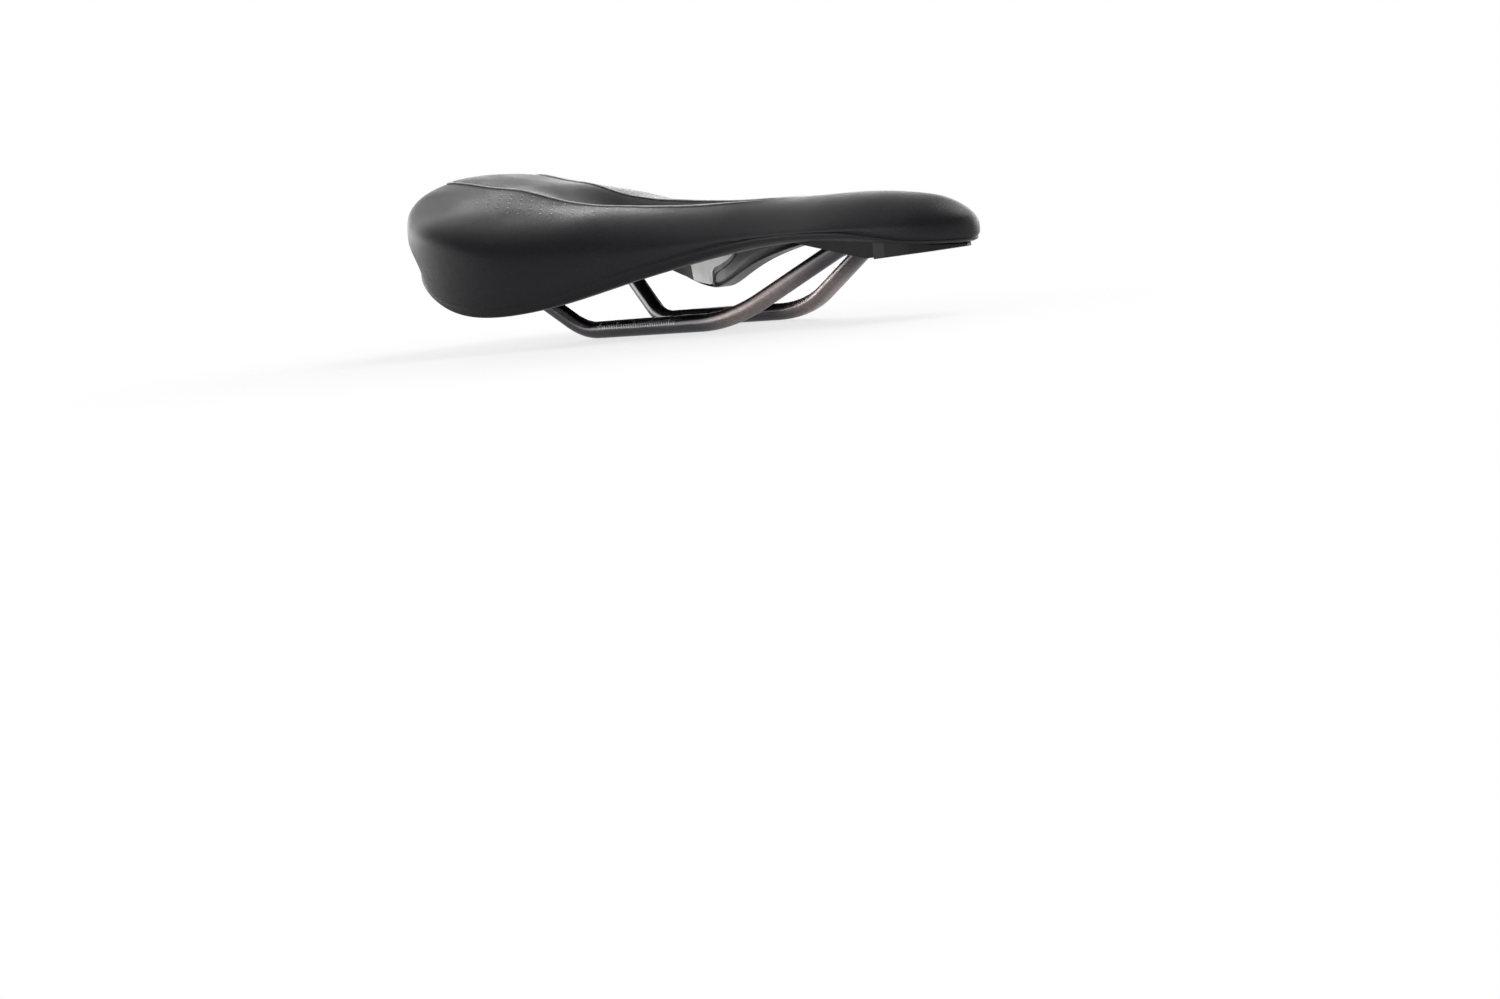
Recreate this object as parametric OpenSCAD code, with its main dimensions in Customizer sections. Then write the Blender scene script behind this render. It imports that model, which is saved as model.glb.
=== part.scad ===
// Bicycle saddle on two round rails, built as separate pieces.
// Units are millimetres.  The origin is the middle of the straight run of the
// rails, halfway between them.  +X points to the nose, +Y to the rider's left,
// +Z up.  Heights are measured from the rail axes.

/* [Overall size] */
// Length from the tail to the nose tip
saddle_length = 266.5; // [230:0.5:300]
// Width over the wings
saddle_width = 146; // [125:1:165]
// Height of the nose crown above the rail axes
nose_height = 44.3; // [40:0.1:52]

/* [Cover] */
// Thickness of the synthetic leather
cover_t = 1.2; // [0.8:0.1:2]
// Share of the skirt height that the turned-under edge climbs inside
lap_rise = 0.25; // [0.1:0.05:0.4]

/* [Padding] */
// Foam thickness under the sit bones
foam_seat_t = 15; // [11:0.5:19]
// Foam thickness on the nose
foam_nose_t = 10; // [8:0.5:12]
// Foam thickness at the side of the wings
foam_side_t = 6; // [4:0.5:8]
// Foam thickness at the lower edge
foam_edge_t = 1.5; // [1:0.1:2.5]
// Depth of the pressure-relief channel
channel_depth = 8; // [4:0.5:9]

/* [Shell] */
// Wall of the moulded base shell
shell_t = 2.6; // [2:0.1:3.5]
// Height of the stiffening ribs below the shell
rib_h = 3; // [2:0.5:5]
// Thickness of the ribs
rib_t = 2; // [1.5:0.1:3]

/* [Rails] */
// Diameter of the rail bar
rail_d = 7; // [6:0.1:8.5]
// Distance between the rail axes in the clamp
rail_spacing = 44; // [38:0.5:50]
// Length between the bend corners of the straight run
rail_run = 83.4; // [70:0.1:95]
// Bend radius behind the clamp run
rear_bend_r = 20; // [12:1:24]
// Bend radius in front of the clamp run
front_bend_r = 60; // [30:1:64]
// Bend radius where the rail turns into the nose socket
nose_bend_r = 14; // [8:1:18]
// Half the distance between the rail ends in the nose
nose_rail_y = 8.3; // [7.5:0.1:9]
// Running gap round a rail in its socket
rail_gap = 0.05; // [0.02:0.01:0.15]

/* [Sockets and bumper] */
// Wall round a rail in a socket
socket_wall = 2.6; // [2:0.1:4]
// Height of the lowest corner of the nose socket
keel_z = 19.6; // [17:0.1:21]
// Thickness of the bumper floor
bumper_t = 2; // [1.5:0.1:3]

/* [Screws] */
// Thread diameter of the socket and bumper screws
screw_d = 4; // [3:0.1:5]
// Head diameter
screw_head_d = 7.5; // [6:0.1:9]
// Head height
screw_head_h = 2.6; // [2:0.1:4]
// Gap round a screw in its hole
screw_gap = 0.1; // [0.05:0.05:0.3]

/* [Hidden] */
$fn = 48;

kx = saddle_length / 266.5;   // stretch of the outline along X
ky = saddle_width / 146;      // stretch of the outline along Y
dz = nose_height - 44.3;      // lift of the whole seat above the rails

// Outline, tail centre to nose tip along the rider's left side:
// widest line x, y, z, then lower edge x, y, z.
OUTLINE = [
    [-119,    0, 58,   -110,    0, 38],
    [-117.5, 28, 57,   -108,   28, 36.5],
    [-111,   50, 52,    -99,   52, 31],
    [ -96,   65, 45.5,  -86, 66.5, 24.5],
    [ -74,   73, 39.5,  -68,   72, 15],
    [ -48, 69.5, 34.7,  -47, 67.5, 10],
    [ -26,   58, 32,    -26, 54.3, 11.5],
    [   0, 44.5, 31.5,    0, 40.3, 17.5],
    [  28, 33.2, 32,     28, 29.3, 23.2],
    [  60, 26.2, 32.5,   60,   23, 27.3],
    [  92, 23.5, 32,     91,   21, 27.5],
    [ 120,   20, 30,    119, 17.5, 24.8],
    [ 138, 13.8, 28.2,  137,   12, 22.6],
    [147.5,   0, 27,  146.5,    0, 21.5]];

// Height of the middle line without the channel, by x
CROWN = [[-120, 69.5], [-100, 65.5], [-84, 61], [-70, 57.5], [-56, 54.3],
         [-44, 52], [-28, 49.5], [-8, 47.3], [19, 45.6], [40, 45.2],
         [60, 44.6], [95, 44.2], [110, 43.2], [120, 42], [130, 40.5],
         [140, 38.3], [148, 35]];
// Sideways fall of the crown, in mm per square mm of y
FALL = [[-120, 0.0028], [-85, 0.0033], [-60, 0.0023], [-47, 0.0016],
        [-23, 0.001], [10, 0.0015], [50, 0.002]];
// How boxy the shoulder is: exponent of the rounding
SHOULDER = [[-118, 6], [-105, 5], [-80, 3.3], [-40, 3], [60, 2.8], [148, 2.6]];
// Half width between the two creases of the centre panel
CREASE = [[-120, 26], [-78, 20], [-54, 18], [-27, 16.7], [-5, 15.3],
          [22, 13], [46, 10], [60, 6.5], [72, 3], [80, 0]];
// Channel depth as a share of channel_depth
CHANNEL = [[-92, 0], [-75, 0.2], [-62, 0.65], [-46, 1], [10, 1],
           [40, 0.6], [60, 0.25], [74, 0]];
SPINE = [-92, 122];           // where the radial lines of the top start

STEPS = 2;                    // points per outline stretch
HALF = STEPS * (len(OUTLINE) - 1);
RING = 2 * HALF;              // points round the whole outline

// ---- surface functions ----

function mirrored(r) = [r[0], -r[1], r[2], r[3], -r[4], r[5]];
function row(i) =
    i < 0 ? mirrored(OUTLINE[-i])
    : i >= len(OUTLINE) ? mirrored(OUTLINE[2 * len(OUTLINE) - 2 - i])
    : OUTLINE[i];
function blend(a, b, c, d, t) =
    0.5 * (2 * b + (c - a) * t + (2 * a - 5 * b + 4 * c - d) * t * t
           + (3 * b - a - 3 * c + d) * t * t * t);
function sized(r) = [kx * r[0], ky * r[1], r[2] + dz,
                     kx * r[3], ky * r[4], r[5] + dz];
half_ring = [for (s = [0:HALF])
    let (i = floor(s / STEPS), t = s / STEPS - i)
    sized(t == 0 ? row(i) : blend(row(i - 1), row(i), row(i + 1), row(i + 2), t))];
function at(i) = let (k = (i + RING) % RING)
    k <= HALF ? half_ring[k] : mirrored(half_ring[RING - k]);

// Outward direction in plan at outline point i
function outward(i) =
    let (d = at(i + 1) - at(i - 1), t = [d[0], d[1]] / norm([d[0], d[1]]))
    [-t[1], t[0]];

function crown(x, y) = lookup(x / kx, CROWN) + dz - lookup(x / kx, FALL) * y * y;
function crease(x) = ky * lookup(x / kx, CREASE);
function channel(x, y) =
    let (t = min(1, abs(y) / crease(x)))
    channel_depth * lookup(x / kx, CHANNEL) * (1 - pow(t, 3));
function foam_t(x) = lookup(x / kx, [[-40, foam_seat_t], [40, foam_nose_t]]);

// A layer is [drop below the crown, inset at the widest line, inset at the
// lower edge, lift of the lower edge, height share of the widest line,
// 1 where it follows the foam and 1 where it follows the channel].
OUTSIDE = [0, 0, 0, 0, 1, 0, 1];
FOAM_TOP = [cover_t, cover_t, cover_t, cover_t, 1, 0, 1];
SHELL_TOP = [cover_t, cover_t + foam_side_t, cover_t + foam_edge_t, cover_t, 0.55, 1, 0];
SHELL_BOTTOM = SHELL_TOP + [shell_t, shell_t, shell_t, 0, -0.1, 0, 0];
RIB_BOTTOM = SHELL_BOTTOM + [rib_h, rib_h, rib_h, 0, -0.1, 0, 0];
LAP = SHELL_BOTTOM + [0, cover_t, cover_t, -cover_t, 0, 0, 0];

// Points of ring j at outline point i: rings 0 to TOP cross the top from the
// middle to the widest line, then the skirt runs down to the lower edge.
INSIDE = [0, 0.5, 0.85, 1];   // rings up to the crease, as shares of it
ACROSS = [32, 62, 90];        // angles of the rings beyond the crease
DOWN = [0.4, 0.75, 1];        // shares of the skirt height
SEAM = len(INSIDE) - 1;       // ring on the crease
TOP = SEAM + len(ACROSS);     // ring on the widest line
EDGE = TOP + len(DOWN);       // ring on the lower edge

function wide(i, l) = let (p = at(i), n = outward(i))
    [p[0] - n[0] * l[1], p[1] - n[1] * l[1], p[5] + (p[2] - p[5]) * l[4]];
function low(i, l) = let (p = at(i), n = outward(i))
    [p[3] - n[0] * l[2], p[4] - n[1] * l[2], p[5] + l[3]];
function spine_x(i) = let (x = at(i)[0] / kx)
    kx * (SPINE[0] + (SPINE[1] - SPINE[0]) * (x + 119) / 266.5);
function crease_share(i, w, s, r = 0.5, n = 4) =
    n == 0 ? r
    : crease_share(i, w, s, max(0.12, min(0.9,
          crease(s + (w[0] - s) * r) / max(1, abs(w[1])))), n - 1);
function across(i, l, j) =
    let (w = wide(i, l), s = spine_x(i), c = crease_share(i, w, s),
         r = j <= SEAM ? c * INSIDE[j] : c + (1 - c) * sin(ACROSS[j - SEAM - 1]),
         e = lookup(at(i)[0] / kx, SHOULDER), k = pow(max(0, 1 - pow(r, e)), 1 / e),
         x = s + (w[0] - s) * r, y = w[1] * r,
         top = crown(x, y) - l[0] - l[5] * foam_t(x) - l[6] * channel(x, y))
    [x, y, w[2] + (top - w[2]) * k];
function skirt(i, l, v) =
    let (w = wide(i, l), h = low(i, l), s = pow(v, 2.4))
    [w[0] + (h[0] - w[0]) * s, w[1] + (h[1] - w[1]) * s, w[2] + (h[2] - w[2]) * v];

function ring(l, j) =
    j == 0 ? [for (i = [0:HALF]) across(i, l, 0)]
    : j < TOP ? [for (i = [0:RING - 1]) across(i, l, j)]
    : j == TOP ? [for (i = [0:RING - 1]) wide(i, l)]
    : [for (i = [0:RING - 1]) skirt(i, l, DOWN[j - TOP - 1])];
function rings(l, from, to) = [for (j = [from:to]) each ring(l, j)];

// Ring 0 is the middle line, which both sides share.  A sheet that starts at a
// later ring has an opening there.
function corner(j, i, from) = let (k = (i + RING) % RING)
    from > 0 ? (j - from) * RING + k
    : j == 0 ? min(k, RING - k) : HALF + 1 + (j - 1) * RING + k;
// Which diagonal a tile takes: mirrored left to right, and the two tiles at
// the tip of the nose take the one that starts on the middle line
function flipped(i) = i < HALF ? i == HALF - 1 : i > HALF;
function tile(a, b, c, d, flip) = flip ? [[a, d, b], [d, c, b]] : [[a, d, c], [a, c, b]];
function sheet(from, to) = [for (j = [from:to - 1]) for (i = [0:RING - 1])
    each tile(corner(j, i, from), corner(j, i + 1, from),
              corner(j + 1, i + 1, from), corner(j + 1, i, from), flipped(i))];
function turned(faces, n) = [for (f = faces) [f[0] + n, f[2] + n, f[1] + n]];
function rim(j, from, n) = [for (i = [0:RING - 1])
    let (a = corner(j, i, from), b = corner(j, i + 1, from))
    each (i >= HALF ? [[b, a, b + n], [a, a + n, b + n]]
                    : [[b, a, a + n], [b, a + n, b + n]])];

// Closed solid between an outer and an inner layer of points
module between(outer, inner, from, to) {
    n = len(outer);
    polyhedron(concat(outer, inner),
               concat(sheet(from, to), turned(sheet(from, to), n), rim(to, from, n),
                      from > 0 ? turned(rim(from, from, n), 0) : []));
}

// ---- soft parts ----

// The main cover starts at the crease, runs down the skirt and turns under
module cover_main() {
    lap_v = 1 - lap_rise;
    color([0.16, 0.16, 0.17])
        between(
            concat(rings(OUTSIDE, SEAM, EDGE),
                   [for (i = [0:RING - 1]) low(i, LAP)],
                   [for (i = [0:RING - 1]) skirt(i, LAP, lap_v)]),
            concat(rings(FOAM_TOP, SEAM, EDGE),
                   [for (i = [0:RING - 1]) low(i, SHELL_BOTTOM)],
                   [for (i = [0:RING - 1]) skirt(i, SHELL_BOTTOM, lap_v)]),
            SEAM, EDGE + 2);
}

// The centre panel lines the channel and lies flat on the tail
module cover_panel() {
    color([0.13, 0.13, 0.14])
        between(rings(OUTSIDE, 0, SEAM), rings(FOAM_TOP, 0, SEAM), 0, SEAM);
}

module foam_pad() {
    color([0.85, 0.82, 0.7])
        between(rings(FOAM_TOP, 0, EDGE), rings(SHELL_TOP, 0, EDGE), 0, EDGE);
}

// ---- base shell ----

// Everything that the seat fills down to the underside of the shell, with the
// turned-under cover: sockets and the bumper are trimmed with it and stay
// seat_gap below it.
seat_gap = 0.15;
module seat_body() {
    trim = SHELL_BOTTOM + [seat_gap, cover_t + seat_gap, cover_t + seat_gap,
                           -cover_t - seat_gap, 0, 0, 0];
    between(rings(OUTSIDE, 0, EDGE), rings(trim, 0, EDGE), 0, EDGE);
}

// Upright plate between two points in plan
module plate(a, b, t) {
    d = b - a;
    translate([a[0], a[1], dz]) rotate([0, 0, atan2(d[1], d[0])])
        translate([0, -t / 2, 0]) cube([norm(d), t, 60]);
}

module ribs() {
    intersection() {
        between(rings(SHELL_BOTTOM - [0.6, 0.6, 0, 0, 0, 0, 0], 0, EDGE),
                rings(RIB_BOTTOM, 0, EDGE), 0, EDGE);
        for (s = [-1, 1]) {
            plate([-92 * kx, s * 14 * ky], [66 * kx, s * 8 * ky], rib_t);
            plate([-50 * kx, s * 15 * ky], [-50 * kx, s * 56 * ky], rib_t);
            plate([-10 * kx, s * 15 * ky], [-10 * kx, s * 34 * ky], rib_t);
        }
    }
}

module base_shell() {
    color([0.3, 0.3, 0.31])
        difference() {
            union() {
                between(rings(SHELL_TOP, 0, EDGE), rings(SHELL_BOTTOM, 0, EDGE), 0, EDGE);
                ribs();
            }
            screw_holes();
        }
}

// ---- rails ----

function unit(v) = v / norm(v);
rail_y = rail_spacing / 2;
// The left rail from its rear end to its end in the nose
rear_end = [-84.8 * kx, 35.8 * ky,
            shell_low(-84.8 * kx, 35.8 * ky) - rail_d / 2 - 0.2];
nose_turn = [91 * kx, nose_rail_y, 24.8 + dz];
nose_end = [106 * kx, nose_rail_y, 24.8 + dz];
RAIL = [rear_end, [-rail_run / 2, rail_y, 0], [rail_run / 2, rail_y, 0],
        nose_turn, nose_end];
BENDS = [0, rear_bend_r, front_bend_r, nose_bend_r, 0];
RUN_IN = 0.5;                 // how far a straight covers the start of a bend

// Length that bend i takes from each of its two straights
function bend_cut(i) = BENDS[i] == 0 ? 0
    : let (a = unit(RAIL[i] - RAIL[i - 1]), b = unit(RAIL[i + 1] - RAIL[i]))
      BENDS[i] * tan(acos(a * b) / 2);

module along(from, to) {
    z = unit(to - from);
    x = unit(cross([0, 1, 0.001], z));
    y = cross(z, x);
    multmatrix([[x[0], y[0], z[0], from[0]], [x[1], y[1], z[1], from[1]],
                [x[2], y[2], z[2], from[2]], [0, 0, 0, 1]]) children();
}

module bend(i, d) {
    a = unit(RAIL[i] - RAIL[i - 1]);
    b = unit(RAIL[i + 1] - RAIL[i]);
    n = unit(b - (a * b) * a);
    c = RAIL[i] - a * bend_cut(i) + n * BENDS[i];
    w = cross(-n, a);
    multmatrix([[-n[0], a[0], w[0], c[0]], [-n[1], a[1], w[1], c[1]],
                [-n[2], a[2], w[2], c[2]], [0, 0, 0, 1]])
        rotate_extrude(angle = acos(a * b))
            translate([BENDS[i], 0]) circle(d = d);
}

module bar(d) {
    for (i = [0:len(RAIL) - 2]) {
        u = unit(RAIL[i + 1] - RAIL[i]);
        from = RAIL[i] + u * (bend_cut(i) - (BENDS[i] > 0 ? RUN_IN : 0));
        to = RAIL[i + 1] - u * (bend_cut(i + 1) - (BENDS[i + 1] > 0 ? RUN_IN : 0));
        along(from, to) cylinder(d = d, h = norm(to - from));
    }
    for (i = [1:len(RAIL) - 2]) bend(i, d - 0.04);
}

module rail_left() { color([0.2, 0.2, 0.21]) bar(rail_d); }
module rail_right() { color([0.2, 0.2, 0.21]) mirror([0, 1, 0]) bar(rail_d); }

// ---- sockets and bumper ----

bore_d = rail_d + 2 * rail_gap;
collar_d = rail_d + 2 * socket_wall;
rear_dir = unit(rear_end - RAIL[1]);
socket_mouth = rear_end - 19 * rear_dir;
foot_x = rear_end[0] - 7 * kx;        // middle of the rear foot
foot_y = rear_end[1];
foot_z = rear_end[2] + 1.3;           // its lower face, where the screw heads sit
foot_screw_y = 6.5;                   // screws on each side of the middle

module rear_socket() {
    difference() {
        hull() {
            along(socket_mouth, rear_end)
                cylinder(d = collar_d, h = norm(rear_end - socket_mouth) + 2, $fn = 32);
            for (sx = [-3, 3]) for (sy = [-8, 8])
                translate([foot_x + sx, foot_y + sy, foot_z])
                    cylinder(r = 4.5, h = 8, $fn = 32);
        }
        seat_body();
        along(socket_mouth - 5 * rear_dir, rear_end)
            cylinder(d = bore_d, h = norm(rear_end - socket_mouth) + 5 + rail_gap);
        for (s = [-1, 1]) translate([foot_x, foot_y + s * foot_screw_y, 0]) {
            cylinder(d = screw_d + 2 * screw_gap, h = 60 + dz);
            cylinder(d = screw_head_d + 2 * screw_gap, h = foot_z);
        }
    }
}

module rear_socket_left() { color([0.12, 0.12, 0.13]) rear_socket(); }
module rear_socket_right() {
    color([0.12, 0.12, 0.13]) mirror([0, 1, 0]) rear_socket();
}

mouth_d = rail_d + 1.5;               // relief round the bend in the nose socket
keel_foot = [15.5, nose_rail_y + mouth_d / 2 + 1.2];   // half widths of its floor
keel_top = [20 * ky, 16.6 * ky];      // half widths under the cover edge, back and front
keel_back = 72 * kx;                  // where the keel leaves the shell
keel_low = 107 * kx;                  // its lowest corner
keel_front = 113 * kx;                // where the bumper starts
tip = 147.5 * kx;

// Side view of the keel and bumper, extruded across the nose
module side_view(points) {
    rotate([90, 0, 0]) linear_extrude(60, center = true) polygon(points);
}

// The keel draws in towards its floor
module keel_form() {
    hull() for (f = [[keel_z, keel_foot], [29, keel_top]])
        translate([0, 0, f[0] + dz - 0.5]) linear_extrude(f[0] == keel_z ? 0.5 : 4.5)
            polygon([[keel_back, f[1][0]], [keel_front, f[1][1]],
                     [keel_front, -f[1][1]], [keel_back, -f[1][0]]]);
}

NOSE_SCREWS = [82 * kx, 101 * kx];    // places of the socket screws along X
function keel_floor(x) = dz + lookup(x, [[keel_back, 29], [keel_low, keel_z],
                                         [keel_front, keel_z]]);

module nose_socket() {
    color([0.12, 0.12, 0.13])
        difference() {
            intersection() {
                side_view([[keel_back, 29 + dz], [keel_low, keel_z + dz],
                           [keel_front, keel_z + dz], [keel_front, 33 + dz],
                           [keel_back, 33 + dz]]);
                keel_form();
            }
            seat_body();
            for (s = [0, 1]) mirror([0, s, 0]) rail_bore();
            for (x = NOSE_SCREWS) {
                translate([x, 0, 0]) cylinder(d = screw_d + 2 * screw_gap, h = 60 + dz);
                translate([x, 0, 0])
                    cylinder(d = screw_head_d + 2 * screw_gap, h = seat_z(x));
            }
        }
}

// Wide mouth along the arm, a ball round the bend, then a close bore
module rail_bore() {
    arm = unit(nose_turn - RAIL[2]);
    along(nose_turn - 32 * arm, nose_turn) cylinder(d = mouth_d, h = 32);
    translate(nose_turn) sphere(d = mouth_d + 0.4);
    along(nose_turn, nose_end)
        cylinder(d = bore_d, h = norm(nose_end - nose_turn) + rail_gap);
}

// Height of the screw head seats in the socket
function seat_z(x) = keel_floor(x) + 2;

bumper_gap = 0.3;                     // between the socket and the bumper
bumper_in = 1.2;                      // bumper edge inside the cover edge
bumper_screw_x = 125 * kx;
bumper_top = shell_low(bumper_screw_x) - 0.2;
function bumper_floor(x) = dz + lookup(x, [[keel_front, keel_z - 0.6], [tip, keel_z + 1.2]]);

// Plan of the nose in front of the socket, drawn in by d from the cover edge
module nose_plan(d) {
    side = [for (i = [0:HALF]) let (p = at(i), n = outward(i))
        if (p[3] > keel_front + 1) [p[3] - n[0] * d, max(0, p[4] - n[1] * d)]];
    first = side[0];
    back = [for (i = [len(side) - 2:-1:0]) [side[i][0], -side[i][1]]];
    x0 = keel_front + bumper_gap;
    polygon(concat([[x0, first[1]]], side, back, [[x0, -first[1]]]));
}

module nose_bumper() {
    x0 = keel_front - 1;
    floor_line = [[x0, bumper_floor(x0)], [tip, bumper_floor(tip)]];
    roof = [[tip, bumper_top], [x0, bumper_top]];
    color([0.1, 0.1, 0.1])
        difference() {
            intersection() {
                linear_extrude(60 + dz) nose_plan(bumper_in);
                side_view(concat(floor_line, roof));
            }
            seat_body();
            difference() {
                intersection() {
                    linear_extrude(60 + dz) nose_plan(bumper_in + 3);
                    side_view([for (p = floor_line) p + [0, bumper_t],
                               each [for (p = roof) p + [0, 5]]]);
                }
                translate([bumper_screw_x, 0, 0]) cylinder(d = 11, h = 60 + dz);
                translate([x0, -30, 0]) cube([bumper_gap + 4, 60, 60 + dz]);
            }
            translate([bumper_screw_x, 0, 0])
                cylinder(d = screw_d + 2 * screw_gap, h = 60 + dz);
            translate([bumper_screw_x, 0, 0])
                cylinder(d = screw_head_d + 2 * screw_gap,
                         h = bumper_floor(bumper_screw_x) + screw_head_h + 0.4);
        }
}

// ---- screws ----

// Underside of the shell well inside its shoulders
function shell_low(x, y = 0) = crown(x, y) - cover_t - foam_t(x) - shell_t;

// Pan-head screw whose head sits with its seat at z, pointing up
module screw(z, l) {
    translate([0, 0, z]) difference() {
        union() {
            translate([0, 0, -screw_head_h]) cylinder(d = screw_head_d, h = screw_head_h);
            cylinder(d = screw_d, h = l);
        }
        translate([0, 0, -screw_head_h - 1]) cylinder(d = 3, h = 2.6, $fn = 6);
    }
}

bite = shell_t - 0.5;                 // depth that a screw goes into the shell
module nose_socket_screws() {
    color([0.6, 0.6, 0.62])
        for (x = NOSE_SCREWS) translate([x, 0, 0])
            screw(seat_z(x), shell_low(x) + bite - seat_z(x));
}

module bumper_screw() {
    z = bumper_floor(bumper_screw_x) + screw_head_h + 0.4;
    color([0.6, 0.6, 0.62])
        translate([bumper_screw_x, 0, 0])
            screw(z, shell_low(bumper_screw_x) + bite - 0.3 - z);
}

function foot_screw_top(s) =
    shell_low(foot_x, foot_y + s * foot_screw_y) + bite - (s > 0 ? 1 : 0.7);
module rear_socket_screws() {
    color([0.6, 0.6, 0.62])
        for (sy = [-1, 1]) for (s = [-1, 1])
            translate([foot_x, sy * (foot_y + s * foot_screw_y), 0])
                screw(foot_z, foot_screw_top(s) - foot_z);
}

module screw_holes() {
    d = screw_d;
    for (x = concat(NOSE_SCREWS, [bumper_screw_x])) translate([x, 0, 0])
        cylinder(d = d, h = shell_low(x) + bite + 0.01);
    for (sy = [-1, 1]) for (s = [-1, 1])
        translate([foot_x, sy * (foot_y + s * foot_screw_y), 0])
            cylinder(d = d, h = foot_screw_top(s) + 0.01);
}

cover_main();
cover_panel();
foam_pad();
base_shell();
nose_socket();
nose_bumper();
rear_socket_left();
rear_socket_right();
rail_left();
rail_right();
nose_socket_screws();
bumper_screw();
rear_socket_screws();
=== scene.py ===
import math

import bmesh
import bpy
import numpy as np
from mathutils import Matrix, Vector
from mathutils.bvhtree import BVHTree


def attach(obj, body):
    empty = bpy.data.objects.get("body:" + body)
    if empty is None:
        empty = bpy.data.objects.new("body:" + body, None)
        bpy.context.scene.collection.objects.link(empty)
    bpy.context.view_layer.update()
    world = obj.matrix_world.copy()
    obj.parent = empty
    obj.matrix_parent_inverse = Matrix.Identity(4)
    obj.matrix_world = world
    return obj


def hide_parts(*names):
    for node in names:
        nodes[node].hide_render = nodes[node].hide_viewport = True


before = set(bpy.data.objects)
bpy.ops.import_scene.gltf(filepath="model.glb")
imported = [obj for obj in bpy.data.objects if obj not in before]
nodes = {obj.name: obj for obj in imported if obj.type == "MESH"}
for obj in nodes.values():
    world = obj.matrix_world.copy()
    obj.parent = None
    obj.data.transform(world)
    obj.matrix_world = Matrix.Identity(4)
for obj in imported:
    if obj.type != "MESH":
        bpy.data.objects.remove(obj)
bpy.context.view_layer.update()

# ============================================================ main cover
# The cover is one skin of matt synthetic leather about 1.2 mm thick.  It is
# pressed over the foam in a mould, its inner edge is welded down along the
# centre panel, and its outer edge is rolled to a bead and turned under.

# Widest line (x, y, z) and lower edge (x, y, z) on the left, tail to nose, in mm
OUTLINE = [
    (-119, 0, 58, -110, 0, 38), (-117.5, 28, 56.5, -108, 28, 36.5),
    (-110.5, 49.5, 50, -99, 52, 31), (-95.5, 64.5, 42, -86, 66.5, 24.5),
    (-74, 73, 34, -68, 72, 15), (-48, 69.5, 28, -47, 67.5, 10),
    (-26, 58, 26.5, -26, 54.3, 11.5), (0, 44.5, 28, 0, 40.3, 17.5),
    (28, 33.2, 29.8, 28, 29.3, 23.2), (60, 26.2, 31.2, 60, 23, 27.3),
    (92, 23.5, 31.2, 91, 21, 27.5), (120, 20, 29.4, 119, 17.5, 24.8),
    (138.5, 14, 28, 137.5, 12.2, 22.8), (149, 0, 27.5, 147.5, 0, 22.2)]
# Height of the middle line and, by x, how far the top falls per square mm of y
CROWN = [(-120, 69.4), (-100, 65.6), (-90, 63.5), (-78, 62.1), (-70, 60.5),
         (-62, 57.9), (-54, 55.5), (-44, 53), (-28, 49.9), (-8, 47.9), (19, 47.1),
         (40, 46.7), (60, 45.4), (75, 44.6), (95, 44.6), (110, 43.8), (120, 42.5),
         (130, 41.3), (140, 40.1), (149, 37)]
# How much higher the sit-bone pads run than the middle line, and where they start
PADS = [(-100, 0), (-90, .3), (-80, -.3), (-70, -.1), (-62, .9), (-54, 1.4), (-44, 1.3),
        (-28, 1.1), (-8, .9), (12, .2), (25, 0)]
PADS_FROM, PADS_FULL = 16, 40
RIDGE = 10                         # mm over which the slope's ridge is rounded
SLOPE = [(-120, 0), (-100, .05), (-84, .16), (-50, .18), (-15, 0)]
FALL = [(-120, .0026), (-100, .0018), (-84, 0), (-50, 0), (-30, .0009), (-10, .0012),
        (8, .002), (30, .0075), (60, .012), (92, .0155), (120, .016)]
ROLL = [(0, 0), (30, 2e-6), (60, 4.2e-6), (92, 6.1e-6), (120, 10e-6)]
BASE_FALL = [(-120, .0028), (-85, .0033), (-60, .0023), (-47, .0016), (-23, .001),
             (10, .0015), (50, .002)]            # the same for the base shell
SHOULDER = [(-118, 6), (-106, 4.6), (-94, 4.1), (-78, 4.7), (-58, 4.5), (-40, 3.5),
            (-20, 2.75), (0, 2.25), (12, 2.2), (30, 2.5), (60, 2.6), (120, 2.7),
            (140, 2.6), (148, 2.4)]
# Half width of the centre panel, and the share of the channel's 8 mm depth
CREASE = [(-120, 26), (-78, 20), (-54, 18), (-27, 16.7), (-5, 15.3), (22, 13),
          (46, 10), (60, 6.5), (72, 3), (80, 0)]
CHANNEL = [(-92, 0), (-75, .2), (-62, .65), (-46, 1), (10, 1), (40, .6),
           (60, .25), (74, 0)]
CHANNEL_DEPTH = 8
FOAM = [(-40, 15), (40, 10)]       # thickness of the foam
SPINE = (-92, 122)                 # the radial lines start between these
TAIL_X, CAD_LENGTH = -119, 266.5
CREASE_NEAREST, CREASE_FARTHEST = .12, .9
# A layer: drop at the top, inset at the widest line, inset and lift of the
# lower edge, height share of the widest line, share of foam and of channel
OUTSIDE = np.array([0, 0, 0, 0, 1, 0, 1.])
FOAM_TOP = np.array([1.2, 1.2, 1.2, 1.2, 1, 0, 1])
SHELL_TOP = np.array([1.2, 7.2, 2.7, 1.2, .55, 1, 0])
SHELL_LOW = SHELL_TOP + [2.6, 2.6, 2.6, 0, -.1, 0, 0]
LAP = SHELL_LOW + [0, 1.2, 1.2, -1.2, 0, 0, 0]
COLUMNS = 400                      # points round the outline


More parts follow.
